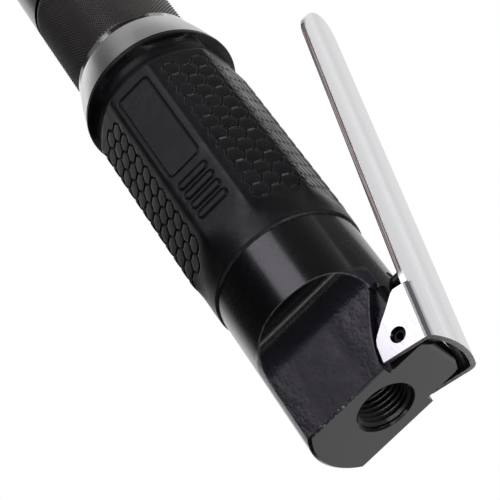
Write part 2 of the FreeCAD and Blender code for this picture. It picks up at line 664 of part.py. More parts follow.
def pawl():
    side = [(DRIVE_X + x, y) for x, y in PAWL_SIDE]
    return prism_z(mirrored(side), -3.95, 3.95).cut(
        cyl_z(PAWL_PIN_R + 0.06, -5, 5, PAWL_PIN_X))


def reverse_knob():
    """Fluted knob with a pointer rib, on the stem that carries the detent plunger."""
    knob = turn_drive(KNOB_PROFILE)
    for k in range(12):
        x, y = polar(11.5, math.radians(30 * k + 15))
        knob = knob.cut(cyl_z(1.5, 12, 19, DRIVE_X + x, y))
    rib = box(DRIVE_X - 8.6, DRIVE_X + 8.6, -1.9, 1.9, 17.5, 20.2)
    rib = rib.makeFillet(0.8, [e for e in rib.Edges if e.BoundBox.ZMin > 20.1])
    knob = knob.fuse(rib).fuse(cyl_z(SELECTOR_R, -3.9, 14, DRIVE_X)).removeSplitter()
    return knob.cut(cyl_x(PLUNGER_R + 0.05, DRIVE_X - 4, DRIVE_X + 0.3))


def detent_plunger():
    """Short pin with a round nose towards the pawl."""
    nose = Part.makeSphere(PLUNGER_R, Vector(PLUNGER_X, 0, 0))
    nose = nose.common(box(DRIVE_X - 6, PLUNGER_X, -2, 2, -2, 2))
    return cyl_x(PLUNGER_R, PLUNGER_X, PLUNGER_X + 1.4).fuse(nose).removeSplitter()


def washer(z0, z1):
    return cyl_z(WASHER_R, z0, z1, DRIVE_X).cut(cyl_z(WASHER_BORE_R, z0 - 1, z1 + 1, DRIVE_X))


def snap_ring():
    body = cyl_z(11.6, -11.9, -10.8, DRIVE_X).cut(cyl_z(9.7, -13, -10, DRIVE_X))
    return body.cut(box(DRIVE_X + 5, DRIVE_X + 14, -2.2, 2.2, -13, -10))


save("drive_spindle", drive_spindle())
save("pawl", pawl())
save("pawl_pin", cyl_z(PAWL_PIN_R, -5.9, 5.9, PAWL_PIN_X))
save("reverse_knob", reverse_knob())
save("detent_plunger", detent_plunger())
detent_spring = coil(pitch=0.5, height=1.7, coil_r=0.72, wire_r=0.16)
detent_spring.rotate(ORIGIN, Y_AXIS, 90)
detent_spring.translate(Vector(DRIVE_X - 1.52, 0, 0))
save("detent_spring", detent_spring)
save("thrust_washer", washer(-8.2, -6.7))
save("spring_washer", turn_drive([(9.2, -8.9), (9.2, -9.2), (10.8, -8.4), (10.8, -8.25)]))
save("retainer_washer", washer(-10.65, -9.3))
save("snap_ring", snap_ring())
save("socket_ball", Part.makeSphere(1.55, Vector(DRIVE_X, SQUARE_HALF - 0.75, BALL_Z)))
ball_spring = turned(coil(pitch=0.55, height=1.5, coil_r=0.95, wire_r=0.18), -90)
ball_spring.translate(Vector(DRIVE_X, 0.98, BALL_Z))
save("ball_spring", ball_spring)
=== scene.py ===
"""An air ratchet: its CAD pieces get materials, and four pieces get detailed meshes.

The tool lies along X.  The inlet (rear) end is at x = 0 and the ratchet head is towards -X.
+Z is up, the lever side.  Meshes are sized in mm and made in metres; materials, lights and
camera are in metres.
"""
import json
import math

import bpy
import numpy as np
from mathutils import Matrix, Vector


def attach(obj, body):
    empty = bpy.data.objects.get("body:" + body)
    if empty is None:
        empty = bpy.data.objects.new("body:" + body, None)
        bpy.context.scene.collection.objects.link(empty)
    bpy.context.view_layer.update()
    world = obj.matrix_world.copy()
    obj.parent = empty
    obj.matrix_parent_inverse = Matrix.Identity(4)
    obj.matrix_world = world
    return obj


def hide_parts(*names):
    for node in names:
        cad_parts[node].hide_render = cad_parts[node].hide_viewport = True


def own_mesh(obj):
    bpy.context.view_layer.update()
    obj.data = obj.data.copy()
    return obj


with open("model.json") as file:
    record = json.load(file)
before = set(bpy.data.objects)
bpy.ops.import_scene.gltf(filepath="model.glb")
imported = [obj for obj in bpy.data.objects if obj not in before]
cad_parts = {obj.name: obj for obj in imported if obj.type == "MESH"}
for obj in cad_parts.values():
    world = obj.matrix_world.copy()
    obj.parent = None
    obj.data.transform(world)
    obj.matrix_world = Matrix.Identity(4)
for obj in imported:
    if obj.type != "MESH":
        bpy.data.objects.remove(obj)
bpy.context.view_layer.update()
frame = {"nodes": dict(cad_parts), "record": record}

MM = 0.001

# housing and lever features that the materials follow, metres
PIN_X, PIN_Z = -0.0043, 0.01436            # lever pin
LEVER_TILT = math.radians(13.0)
LEVER_SHEET = 0.00141                      # height of the band across the cut edge
FLAT_Y = 0.01100                           # tail flats, each side of the axis
SWEEP_X, SWEEP_R = -0.01860, 0.00800       # the sweep that ends the flats


# ---------------------------------------------------------------------------
# node helpers
# ---------------------------------------------------------------------------
class Graph:
    """Short calls for building a node tree.  Any value may be a socket or a constant."""

    def __init__(self, tree):
        self.tree = tree

    def node(self, kind, **props):
        node = self.tree.nodes.new(kind)
        for name, value in props.items():
            setattr(node, name, value)
        return node

    def link(self, value, socket):
        if hasattr(value, "node"):
            self.tree.links.new(value, socket)
        elif socket.type == "RGBA":
            socket.default_value = (*value, 1.0)
        else:
            socket.default_value = value

    def separate(self, vector):
        node = self.node("ShaderNodeSeparateXYZ")
        self.link(vector, node.inputs[0])
        return node.outputs

    def math(self, op, a, b=0.0):
        node = self.node("ShaderNodeMath", operation=op)
        self.link(a, node.inputs[0])
        self.link(b, node.inputs[1])
        return node.outputs[0]

    def add(self, a, b):
        return self.math("ADD", a, b)

    def sub(self, a, b):
        return self.math("SUBTRACT", a, b)

    def mul(self, a, b, *more):
        product = self.math("MULTIPLY", a, b)
        for factor in more:
            product = self.math("MULTIPLY", product, factor)
        return product

    def abs(self, value):
        return self.math("ABSOLUTE", value)

    def hypot(self, a, b):
        return self.math("SQRT", self.add(self.mul(a, a), self.mul(b, b)))

    def average(self, a, b):
        return self.add(self.mul(a, 0.5), self.mul(b, 0.5))

    def remap(self, value, over, to, kind="LINEAR"):
        node = self.node("ShaderNodeMapRange", interpolation_type=kind, clamp=True)
        self.link(value, node.inputs["Value"])
        for name, number in zip(("From Min", "From Max", "To Min", "To Max"), (*over, *to)):
            node.inputs[name].default_value = number
        return node.outputs["Result"]

    def rise(self, value, over, to=(0.0, 1.0)):
        """A smooth step up as the value climbs over[0] -> over[1]."""
        return self.remap(value, over, to, "SMOOTHSTEP")

    def fall(self, value, over):
        """0 above over[0], 1 below over[1]; over[0] is the higher."""
        return self.rise(self.mul(value, -1.0), (-over[0], -over[1]))

    def camera_switch(self, hidden, seen, output):
        """Show one shader to camera rays and the other to every other ray."""
        path = self.node("ShaderNodeLightPath")
        mix = self.node("ShaderNodeMixShader")
        self.link(path.outputs["Is Camera Ray"], mix.inputs[0])
        self.link(hidden.outputs[0], mix.inputs[1])
        self.link(seen.outputs[0], mix.inputs[2])
        self.link(mix.outputs[0], output.inputs[0])


def new_material(name):
    """A node material and its Principled node."""
    material = bpy.data.materials.new(name)
    material.use_nodes = True
    nodes = material.node_tree.nodes
    return material, next(n for n in nodes if n.type == "BSDF_PRINCIPLED")


class Mat(Graph):
    # first input and output of the Mix node for each data type
    MIX_SOCKETS = {"FLOAT": (2, 0), "VECTOR": (4, 1), "RGBA": (6, 2)}
    INPUTS = {
        "color": "Base Color", "metal": "Metallic", "rough": "Roughness", "normal": "Normal",
        "coat": "Coat Weight", "coat_rough": "Coat Roughness", "spec": "Specular IOR Level",
        "sheen": "Sheen Weight", "sheen_rough": "Sheen Roughness",
    }

    def __init__(self, name):
        self.material, self.bsdf = new_material(name)
        super().__init__(self.material.node_tree)
        self.place = self.node("ShaderNodeTexCoord").outputs["Object"]

    def mapped(self, stretch=(1, 1, 1), offset=(0, 0, 0)):
        node = self.node("ShaderNodeMapping")
        self.link(self.place, node.inputs["Vector"])
        node.inputs["Scale"].default_value = stretch
        node.inputs["Location"].default_value = offset
        return node.outputs[0]

    def noise_at(self, vector, scale, detail, rough=0.5):
        node = self.node("ShaderNodeTexNoise")
        self.link(vector, node.inputs["Vector"])
        node.inputs["Scale"].default_value = scale
        node.inputs["Detail"].default_value = detail
        node.inputs["Roughness"].default_value = rough
        return node.outputs[0]

    def noise(self, scale, detail=3.0, rough=0.5, stretch=(1, 1, 1), offset=(0, 0, 0)):
        return self.noise_at(self.mapped(stretch, offset), scale, detail, rough)

    def voronoi(self, scale):
        node = self.node("ShaderNodeTexVoronoi")
        self.link(self.mapped(), node.inputs["Vector"])
        node.inputs["Scale"].default_value = scale
        return node.outputs["Distance"]

    def mix(self, mask, off, on, kind="RGBA"):
        first, out = self.MIX_SOCKETS[kind]
        node = self.node("ShaderNodeMix", data_type=kind)
        self.link(mask, node.inputs[0])
        self.link(off, node.inputs[first])
        self.link(on, node.inputs[first + 1])
        return node.outputs[out]

    def mix_value(self, mask, off, on):
        return self.mix(mask, off, on, "FLOAT")

    def bump(self, height, depth, strength, normal=None):
        node = self.node("ShaderNodeBump")
        node.inputs["Strength"].default_value = strength
        node.inputs["Distance"].default_value = depth
        self.link(height, node.inputs["Height"])
        if normal is not None:
            self.link(normal, node.inputs["Normal"])
        return node.outputs[0]

    def soft_edge(self, radius):
        node = self.node("ShaderNodeBevel", samples=6)
        node.inputs["Radius"].default_value = radius
        return node.outputs[0]

    def edges(self, radius):
        """1 close to a sharp edge, 0 on the open surface."""
        geometry = self.node("ShaderNodeNewGeometry")
        dot = self.node("ShaderNodeVectorMath", operation="DOT_PRODUCT")
        self.link(self.soft_edge(radius), dot.inputs[0])
        self.link(geometry.outputs["Normal"], dot.inputs[1])
        return self.remap(dot.outputs["Value"], over=(0.72, 0.985), to=(1.0, 0.0))

    def finish(self, **inputs):
        for name, value in inputs.items():
            self.link(value, self.bsdf.inputs[self.INPUTS[name]])
        return self.material


# ---------------------------------------------------------------------------
# painted housing
# ---------------------------------------------------------------------------
def recess_mask(mat, x, y, z):
    """Flat faces of the lever recess."""
    return mat.mul(mat.rise(mat.abs(y), over=(0.0085, 0.0086)),
                   mat.rise(z, over=(0.0070, 0.0072)),
                   mat.rise(x, over=(-0.0212, -0.0206)))


def flat_mask(mat, x, side):
    """The tail flats, short of the rear end face."""
    return mat.mul(mat.rise(side, over=(0.00835, 0.0085)),
                   mat.rise(x, over=(-0.0262, -0.0245)),
                   mat.fall(side, over=(0.0150, 0.0118)),
                   mat.fall(x, over=(-0.00025, -0.0007)))


def rim_highlight_mask(mat, x, y, z, side):
    """Painted highlights on the rims: where the sweep meets the barrel, and a fainter one over
    the flat.
    """
    radius = mat.hypot(y, z)
    from_centre = mat.hypot(mat.sub(x, SWEEP_X), mat.sub(side, FLAT_Y + SWEEP_R))
    off_sweep = mat.abs(mat.sub(from_centre, SWEEP_R))
    patchy = mat.remap(mat.noise(scale=700, offset=(0.2, 0.1, 0)),
                       over=(0.35, 0.6), to=(0.35, 1.0))
    sweep_highlight = mat.mul(mat.rise(radius, over=(0.01902, 0.01914)),
                        mat.fall(off_sweep, over=(0.00030, 0.00014)),
                        mat.fall(x, over=(-0.012, -0.016)),
                        patchy)
    # the edge between flat and recess is a parabola in the distance forward of its rear end
    rear_end, start_z, slope, curve = 0.0026, 0.0073, 0.237, 17.2
    forward = mat.sub(mat.mul(x, -1.0), rear_end)
    edge_z = mat.add(mat.mul(forward, mat.add(mat.mul(forward, curve), slope)), start_z)
    off_edge = mat.abs(mat.sub(z, edge_z))
    recess_edge_highlight = mat.mul(mat.rise(side, over=(0.01085, 0.01095)),
                         mat.fall(off_edge, over=(0.00030, 0.00012)),
                         mat.mul(mat.rise(forward, over=(0.0, 0.001)),
                                 mat.fall(forward, over=(0.0146, 0.0140))))
    recess_share = 0.7
    return mat.math("MAXIMUM", sweep_highlight, mat.mul(recess_edge_highlight, recess_share))


def nick_mask(mat, x, y, z):
    """Bare nicks along the -Y edge of the rear end face."""
    specks = mat.rise(mat.noise(scale=1300, detail=5.0, rough=0.75, offset=(0.01, 0.02, 0.03)),
                      over=(0.55, 0.60))
    edge = mat.mul(mat.fall(y, over=(-0.01055, -0.01085)),
                   mat.rise(x, over=(-0.0011, -0.0006)))
    span = mat.mul(mat.rise(z, over=(-0.0165, -0.0135)), mat.fall(z, over=(0.0005, -0.003)))
    return mat.mul(specks, mat.mul(edge, span))


def enamel(name, cast):
    """Black gloss paint; with cast, also the cast skin, wear and painted rim highlights of the
    housing tail.
    """
    mat = Mat(name)
    blot = mat.noise(scale=45, detail=4.0)
    grit = mat.noise(scale=1500, detail=4.0, rough=0.7)
    # worn specks where an edge is exposed
    chip = mat.mul(mat.rise(mat.edges(radius=0.00035), over=(0.35, 0.75)),
                   mat.rise(mat.noise(scale=900, detail=5.0, rough=0.7), over=(0.56, 0.62)))
    color = mat.mix(blot, off=(0.0036, 0.0031, 0.0046), on=(0.0080, 0.0072, 0.0096))
    rough = mat.add(mat.remap(blot, over=(0.3, 0.7), to=(0.20, 0.28)),
                    mat.remap(grit, over=(0.35, 0.65), to=(-0.05, 0.05)))
    coat = 0.45
    normal = mat.soft_edge(radius=0.00028)
    if cast:
        x, y, z = mat.separate(mat.place)
        geometry = mat.node("ShaderNodeNewGeometry")
        normal = mat.mix(recess_mask(mat, x, y, z), off=normal,
                         on=geometry.outputs["True Normal"], kind="VECTOR")
    orange_peel = mat.noise(scale=420, detail=2.0)
    normal = mat.bump(orange_peel, depth=0.00004, strength=0.45, normal=normal)
    if cast:
        side = mat.abs(y)
        flat = flat_mask(mat, x, side)
        lump = mat.noise(scale=300, detail=5.0, rough=0.62)
        pits = mat.rise(mat.voronoi(scale=420), over=(0.02, 0.32))
        lump_share, pit_share = 1.3, 0.16
        skin = mat.add(mat.mul(lump, lump_share), mat.mul(pits, pit_share))
        # the skin is coarsest towards the upper and lower edges of the flat
        coarse = mat.math("MAXIMUM", mat.rise(z, over=(0.0015, 0.0075)),
                          mat.fall(z, over=(-0.009, -0.0155)))
        coarse_gain, everywhere = 0.42, 0.10
        amount = mat.mul(flat, mat.add(mat.mul(coarse, coarse_gain), everywhere))
        normal = mat.bump(mat.mul(skin, amount), depth=0.00060, strength=0.9, normal=normal)
        rough = mat.mix_value(flat, rough, mat.remap(lump, over=(0.3, 0.7), to=(0.27, 0.40)))
        coat = mat.mix_value(flat, off=coat, on=0.12)
        color = mat.mix(flat, color, on=(0.0190, 0.0165, 0.0280))
        # painted highlight: a light grey band along the rim of the sweep and the edge of the
        # flat
        rim_highlight = rim_highlight_mask(mat, x, y, z, side)
        color = mat.mix(rim_highlight, color, on=(0.20, 0.19, 0.21))
        rough = mat.mix_value(rim_highlight, rough, on=0.34)
        end_face = mat.rise(x, over=(-0.0006, -0.0001))
        end_color = mat.mix(mat.noise(scale=260, detail=4.0),
                            off=(0.0060, 0.0057, 0.0080), on=(0.0110, 0.0103, 0.0145))
        color = mat.mix(end_face, color, end_color)
        rough = mat.mix_value(end_face, rough, on=0.22)
        chip = mat.math("MAXIMUM", chip, nick_mask(mat, x, y, z))
    fine = mat.noise(scale=2600)
    normal = mat.bump(fine, depth=0.000008, strength=0.45, normal=normal)
    normal = mat.bump(grit, depth=0.000016, strength=0.4, normal=normal)
    color = mat.mix(chip, color, on=(0.45, 0.43, 0.41))
    rough = mat.mix_value(chip, rough, on=0.42)
    bare_metal = 0.8
    return mat.finish(color=color, rough=rough, normal=normal, coat=coat, coat_rough=0.13,
                      spec=0.5, metal=mat.mul(chip, bare_metal))


# ---------------------------------------------------------------------------
# chrome lever
# ---------------------------------------------------------------------------
def cut_edge_color(mat, along, y, up):
    """Colours across the cut edge of the lever sheet, from its underside to its top."""
    underside = mat.remap(along, over=(0.012, 0.092), to=(0.00522, 0.00603))
    level = mat.math("DIVIDE", mat.sub(up, underside), LEVER_SHEET)
    # streaks run along the lever
    along_squeeze, y_squeeze = 0.012, 0.05
    streak_at = mat.node("ShaderNodeCombineXYZ")
    mat.link(mat.mul(along, along_squeeze), streak_at.inputs[0])
    mat.link(mat.mul(y, y_squeeze), streak_at.inputs[1])
    mat.link(up, streak_at.inputs[2])
    streak = mat.noise_at(streak_at.outputs[0], scale=3400, detail=2.0)
    cut = mat.mix(mat.rise(streak, over=(0.40, 0.58)),
                  off=(0.20, 0.165, 0.14), on=(0.52, 0.47, 0.43))
    cut = mat.mix(mat.rise(level, over=(0.06, 0.16)), off=(0.05, 0.045, 0.04), on=cut)
    cut = mat.mix(mat.rise(level, over=(0.68, 0.74)), cut, on=(0.10, 0.085, 0.075))
    return mat.mix(mat.rise(level, over=(0.80, 0.88)), cut, on=(0.95, 0.94, 0.93))


def chrome_lever():
    mat = Mat("lever_chrome")
    grain = mat.noise(scale=700, stretch=(0.03, 1.0, 1.0), detail=4.0, rough=0.6)
    smudge = mat.noise(scale=26, stretch=(0.6, 1.0, 1.0), detail=5.0, rough=0.6)
    micro = mat.noise(scale=3000, detail=2.0)
    scratch = mat.rise(mat.noise(scale=240, stretch=(0.05, 1.4, 1.4), detail=1.0,
                                 offset=(0.3, 0.1, 0.2)), over=(0.70, 0.73))
    facing = mat.separate(mat.node("ShaderNodeNewGeometry").outputs["Normal"])
    x, y, z = mat.separate(mat.place)

    def sideways():
        return mat.rise(mat.abs(facing[1]), over=(0.86, 0.97))

    # sideways faces: the cut edge forward of the pin, the ears round it
    cut_edge = mat.mul(sideways(), mat.fall(x, over=(-0.0145, -0.017)))
    ear = mat.mul(sideways(), mat.rise(x, over=(-0.0165, -0.0150)))
    under = mat.fall(facing[2], over=(-0.2, -0.5))
    # along the lever and up through the sheet, both from the pin
    tilt_cos, tilt_sin = math.cos(LEVER_TILT), math.sin(LEVER_TILT)
    pin_dx, pin_dz = mat.add(x, -PIN_X), mat.add(z, -PIN_Z)
    along = mat.add(mat.mul(pin_dx, -tilt_cos), mat.mul(pin_dz, tilt_sin))
    up = mat.add(mat.mul(pin_dx, tilt_sin), mat.mul(pin_dz, tilt_cos))
    hole = mat.sub(1.0, mat.rise(mat.hypot(pin_dx, pin_dz), over=(0.00193, 0.00199)))

    color = mat.mix(smudge, off=(0.92, 0.925, 0.955), on=(0.98, 0.98, 0.985))
    color = mat.mix(cut_edge, color, cut_edge_color(mat, along, y, up))
    color = mat.mix(under, color, on=(0.33, 0.33, 0.34))
    ear_grain = mat.noise(scale=900, stretch=(0.12, 1.0, 1.0), detail=4.0, rough=0.65,
                          offset=(0.05, 0.02, 0.07))
    ear_color = mat.mix(mat.rise(ear_grain, over=(0.55, 0.72)),
                        off=(0.70, 0.70, 0.705), on=(0.56, 0.56, 0.57))
    color = mat.mix(ear, color, ear_color)
    color = mat.mix(hole, color, on=(0.012, 0.0115, 0.0125))

    smudge_share, grain_share = 0.7, 0.5
    haze = mat.add(mat.mul(smudge, smudge_share), mat.mul(grain, grain_share))
    rough = mat.remap(haze, over=(0.35, 0.85), to=(0.15, 0.26))
    rough = mat.mix_value(cut_edge, rough, on=0.5)
    rough = mat.mix_value(under, rough, on=0.42)
    normal = mat.bump(grain, depth=0.000002, strength=0.25)
    normal = mat.bump(micro, depth=0.0000006, strength=0.2, normal=normal)
    normal = mat.bump(smudge, depth=0.00010, strength=0.22, normal=normal)
    normal = mat.bump(scratch, depth=0.000006, strength=0.25, normal=normal)
    return mat.finish(color=color, metal=1.0, rough=rough, normal=normal)


# ---------------------------------------------------------------------------
# rubber
# ---------------------------------------------------------------------------
def rubber(name):
    mat = Mat(name)
    grain = mat.noise(scale=2300, detail=4.0, rough=0.65)
    mottle = mat.noise(scale=330)
    blot = mat.noise(scale=55, detail=4.0)
    cloud = mat.noise(scale=140, detail=5.0, rough=0.7, offset=(0.05, 0.3, 0.2))
    warm = mat.rise(mat.noise(scale=38, offset=(0.13, 0.02, 0.05)), over=(0.56, 0.72))
    dust = mat.rise(mat.noise(scale=1500, detail=2.0, offset=(0.02, 0.07, 0.01)),
                    over=(0.735, 0.76))
    warm_share, dust_share, mottle_rough = 0.5, 0.6, 0.10
    color = mat.mix(blot, off=(0.0080, 0.0069, 0.0092), on=(0.0130, 0.0117, 0.0146))
    color = mat.mix(mat.rise(cloud, over=(0.50, 0.72)), color, on=(0.0175, 0.0160, 0.0205))
    color = mat.mix(mat.mul(warm, warm_share), color, on=(0.017, 0.0125, 0.0095))
    color = mat.mix(mat.mul(dust, dust_share), color, on=(0.16, 0.16, 0.165))
    rough = mat.add(mat.remap(cloud, over=(0.3, 0.7), to=(0.20, 0.40)),
                    mat.mul(mottle, mottle_rough))
    # painted highlight: the thin rear rim is painted lighter, in patches
    x = mat.separate(mat.place)[0]
    rear_rim_highlight = mat.mul(mat.rise(x, over=(-0.04592, -0.04562)),
                    mat.remap(mat.noise(scale=500), over=(0.35, 0.6), to=(0.35, 1.0)))
    color = mat.mix(rear_rim_highlight, color, on=(0.075, 0.072, 0.080))
    normal = mat.soft_edge(radius=0.00012)
    normal = mat.bump(grain, depth=0.00003, strength=0.55, normal=normal)
    normal = mat.bump(mottle, depth=0.00010, strength=0.5, normal=normal)
    normal = mat.bump(cloud, depth=0.00022, strength=0.4, normal=normal)
    return mat.finish(color=color, rough=rough, normal=normal, spec=0.36, sheen=0.05,
                      sheen_rough=0.4)


# ---------------------------------------------------------------------------
# metals and plain finishes
# ---------------------------------------------------------------------------
TURNED_ABOUT = {"x": (1.0, 0.02, 0.02), "z": (0.02, 0.02, 1.0)}    # ring noise stretch


def lathe_rings(mat, lines, axis="x"):
    return mat.noise(scale=lines, stretch=TURNED_ABOUT[axis], detail=4.0, rough=0.7)


def lathe_bump(mat, rings):
    normal = mat.bump(rings, depth=0.000014, strength=0.5)
    return mat.bump(mat.noise(scale=3000, detail=2.0), depth=0.000004, strength=0.4,
                    normal=normal)


def edge_wear(mat, amount):
    patchy = mat.remap(mat.noise(scale=600, detail=4.0), over=(0.4, 0.65), to=(0.0, amount))
    return mat.mul(mat.edges(radius=0.00025), patchy)


def turned(name, dark, light, rough, lines=2600, metal=1.0, wear=0.0, axis="x",
           wear_color=None):
    """Metal turned on a lathe: fine rings round the axis, blotches, maybe edge wear."""
    mat = Mat(name)
    rings = lathe_rings(mat, lines, axis)
    blot = mat.noise(scale=90, detail=5.0)
    color = mat.mix(mat.average(rings, blot), dark, light)
    rough = mat.remap(mat.average(rings, blot), over=(0.35, 0.65), to=rough)
    if wear > 0:
        color = mat.mix(edge_wear(mat, wear), color, wear_color)
    return mat.finish(color=color, metal=metal, rough=rough, normal=lathe_bump(mat, rings))


def ring_finish():
    """The turned ring in front of the grip, with a smoother land painted lighter as a painted
    highlight, and a front face painted darker as painted shade.
    """
    mat = Mat("ring_finish")
    x, y, z = mat.separate(mat.place)
    rings = lathe_rings(mat, lines=1800)
    tone = mat.average(rings, mat.noise(scale=90, detail=5.0))
    color = mat.mix(tone, off=(0.54, 0.54, 0.55), on=(0.74, 0.74, 0.75))
    rough = mat.remap(tone, over=(0.35, 0.65), to=(0.17, 0.30))
    color = mat.mix(edge_wear(mat, amount=0.5), color, on=(0.8, 0.8, 0.8))
    rear = mat.rise(x, over=(-0.11990, -0.11960))
    color = mat.mix(rear, color, on=(0.03, 0.03, 0.032))
    rough = mat.mix_value(rear, rough, on=0.5)
    radius = mat.hypot(y, z)
    # the land is smoother, and its lighter colour is a painted highlight
    land_highlight = mat.mul(mat.fall(x, over=(-0.1310, -0.1312)), mat.rise(radius, over=(0.0172, 0.0174)))
    color = mat.mix(land_highlight, color, on=(0.90, 0.90, 0.90))
    rough = mat.mix_value(land_highlight, rough, on=0.14)
    # painted shade: the front face towards the nut is painted darker
    front_face_shade = mat.mul(mat.fall(x, over=(-0.1309, -0.1310)), mat.fall(radius, over=(0.0174, 0.0172)))
    color = mat.mix(front_face_shade, color, on=(0.16, 0.155, 0.15))
    return mat.finish(color=color, metal=1.0, rough=rough, normal=lathe_bump(mat, rings))


def plain(name, dark, light, rough, metal, grain=1800, depth=0.00001):
    mat = Mat(name)
    blot = mat.noise(scale=110, detail=4.0)
    return mat.finish(color=mat.mix(blot, dark, light), metal=metal,
                      rough=mat.remap(blot, over=(0.3, 0.7), to=rough),
                      normal=mat.bump(mat.noise(grain, detail=4.0), depth, strength=0.6))


ENAMEL = enamel("housing_enamel", cast=True)
ENAMEL_HEAD = enamel("head_enamel", cast=False)
CHROME = chrome_lever()
RUBBER = rubber("grip_rubber")
OXIDE = turned("black_oxide", dark=(0.030, 0.027, 0.027), light=(0.060, 0.055, 0.054),
               rough=(0.34, 0.5), lines=900, metal=0.75, wear=0.4,
               wear_color=(0.2, 0.19, 0.18))
RING = ring_finish()
KNURL = turned("knurl_oxide", dark=(0.12, 0.108, 0.105), light=(0.20, 0.185, 0.18),
               rough=(0.28, 0.42), lines=700, metal=0.8)
STEEL = turned("ground_steel", dark=(0.42, 0.42, 0.43), light=(0.60, 0.60, 0.60),
               rough=(0.2, 0.38))
DRIVE = turned("drive_steel", dark=(0.46, 0.46, 0.47), light=(0.64, 0.64, 0.65),
               rough=(0.22, 0.36), lines=1400, wear=0.4, axis="z", wear_color=(0.8, 0.8, 0.8))
BEARING = plain("bearing_steel", dark=(0.62, 0.62, 0.63), light=(0.72, 0.72, 0.73),
                rough=(0.08, 0.18), metal=1.0)
IRON = turned("machined_iron", dark=(0.16, 0.155, 0.15), light=(0.26, 0.25, 0.25),
              rough=(0.4, 0.55), lines=1500)
BLADE = plain("blade_laminate", dark=(0.16, 0.075, 0.030), light=(0.24, 0.12, 0.055),
              rough=(0.5, 0.65), metal=0.0, grain=1200, depth=0.00003)
NITRILE = plain("nitrile", dark=(0.010, 0.010, 0.011), light=(0.018, 0.018, 0.019),
                rough=(0.42, 0.55), metal=0.0)
BRASS = turned("brass", dark=(0.62, 0.44, 0.17), light=(0.76, 0.57, 0.26), rough=(0.24, 0.4))
BRONZE = turned("bronze", dark=(0.42, 0.26, 0.12), light=(0.58, 0.37, 0.19),
                rough=(0.34, 0.5))
DARK_STEM = plain("stem_dark", dark=(0.030, 0.028, 0.028), light=(0.06, 0.056, 0.054),
                  rough=(0.3, 0.42), metal=0.8)
SPRING = plain("spring_wire", dark=(0.42, 0.42, 0.43), light=(0.56, 0.56, 0.57),
               rough=(0.2, 0.34), metal=1.0)
THREAD = turned("thread_enamel", dark=(0.060, 0.057, 0.056), light=(0.17, 0.165, 0.16),
                rough=(0.22, 0.34), lines=1200, metal=0.6)
PIN_DARK = plain("pin_dark", dark=(0.006, 0.006, 0.006), light=(0.012, 0.0115, 0.011),
                 rough=(0.45, 0.6), metal=0.2)

BY_SLOT = {
    "black_enamel": ENAMEL, "chrome_lever": CHROME, "rubber": RUBBER, "satin_steel": RING,
    "black_oxide": OXIDE, "steel": STEEL, "bearing_steel": BEARING, "iron": IRON,
    "blade": BLADE, "nitrile": NITRILE, "brass": BRASS, "bronze": BRONZE,
    "spring_steel": SPRING,
}
# pieces that differ from the rest of their slot
BY_NODE = {"ratchet_housing": ENAMEL_HEAD, "drive_spindle": DRIVE, "valve_stem": DARK_STEM,
           "lever_pin": PIN_DARK}
for part in frame["record"]["subparts"]:
    slots = frame["nodes"][part["node"]].data.materials
    slots.clear()
    slots.append(BY_NODE.get(part["node"], BY_SLOT[part["material_slot"]]))


# ---------------------------------------------------------------------------
# mesh helpers
# ---------------------------------------------------------------------------
def make_mesh(name, verts, faces, material, smooth_angle):
    mesh = bpy.data.meshes.new(name)
    mesh.from_pydata([tuple(v) for v in verts], [], faces)
    mesh.validate()
    mesh.update()
    obj = bpy.data.objects.new(name, mesh)
    bpy.context.scene.collection.objects.link(obj)
    mesh.materials.append(material)
    mesh.polygons.foreach_set("use_smooth", [True] * len(mesh.polygons))
    mesh.set_sharp_from_angle(angle=math.radians(smooth_angle))
    return obj


def circle_angles(count):
    """Angles about the tool axis, from -Y towards +Z."""
    return np.linspace(0, 2 * math.pi, count, endpoint=False)


def sleeve(name, xs, radius, bore, material, smooth_angle):
    """A closed sleeve about the tool axis, in mm.

    radius[i, j] is the outer radius at xs[i] and the j-th angle.  xs must rise for the
    faces to point outward.
    """
    count = radius.shape[1]
    angles = circle_angles(count)
    bore_row = np.full(count, bore)
    rows = [(xs[0], bore_row), *zip(xs, radius), (xs[-1], bore_row)]
    verts = [np.stack([np.full(count, x), -r * np.cos(angles), r * np.sin(angles)], 1)
             for x, r in rows]
    corner = np.arange(len(rows) * count).reshape(len(rows), count)
    turned_on = np.roll(corner, -1, 1)
    faces = np.stack([np.roll(corner, -1, 0), np.roll(turned_on, -1, 0), turned_on, corner], -1)
    return make_mesh(name, np.concatenate(verts) * MM, faces.reshape(-1, 4).tolist(), material,
                     smooth_angle)


def smoothstep(value, start, end):
    t = np.clip((value - start) / (end - start), 0, 1)
    return t * t * (3 - 2 * t)


# ---------------------------------------------------------------------------
# rubber grip: eight soft-cornered facets, honeycomb tread, side panels (mm)
# ---------------------------------------------------------------------------
GRIP_X0, GRIP_X1 = -119.15, -45.25
SEAT_R = 17.25                       # bore
GRIP_MAX_R = 21.38
SIDE_R, DIAGONAL_R, TOP_R = 20.06, 19.75, 18.75      # axis to facet
# angle in degrees, distance from the axis, low and high tread edge across the facet
FACETS = [
    (0.0, SIDE_R, None), (40.25, DIAGONAL_R, (-5.2, 7.4)),
    (90.0, TOP_R, (-9.6, 9.6)), (139.75, DIAGONAL_R, (-7.4, 5.2)),
    (180.0, SIDE_R, None), (220.25, DIAGONAL_R, (-5.2, 7.4)),
    (270.0, TOP_R, (-9.6, 9.6)), (319.75, DIAGONAL_R, (-7.4, 5.2)),
]
CORNER_POWER = 74.0                  # higher makes the facet corners sharper
# (x, radius) of the round rear collar
REAR_COLLAR = [
    (-60, 20.15), (-52, 19.98), (-47.0, 19.86), (-46.0, 19.84),
    (-45.7, 19.76), (-45.45, 19.6), (-45.3, 19.44), (GRIP_X1, 19.36),
]
